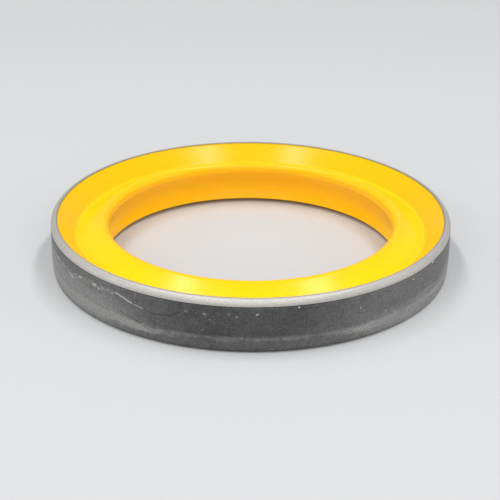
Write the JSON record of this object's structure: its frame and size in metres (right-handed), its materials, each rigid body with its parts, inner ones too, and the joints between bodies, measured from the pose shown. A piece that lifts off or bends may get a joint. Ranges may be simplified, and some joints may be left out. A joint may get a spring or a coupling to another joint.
{
  "type": "hydraulic wiper seal",
  "caption": "Ring-shaped rod wiper seal for a hydraulic cylinder: drawn steel case with a rounded rim, and a bonded yellow polyurethane wiping lip inside.",
  "frame": {"origin": "centre of the seal at the outer face of the case's flange, on which it lies", "axes": "+Z along the rod's axis, from the flange towards the wiping lip and the rim"},
  "size_m": [0.075, 0.075, 0.01],
  "materials": {
    "case_steel": "dull drawn steel, scuffed, bare on the rim",
    "wiper_polyurethane": "satin moulded polyurethane"
  },
  "bodies": {
    "root": {"steel_case": "case_steel", "polyurethane_wiper": "wiper_polyurethane"}
  },
  "joints": []
}
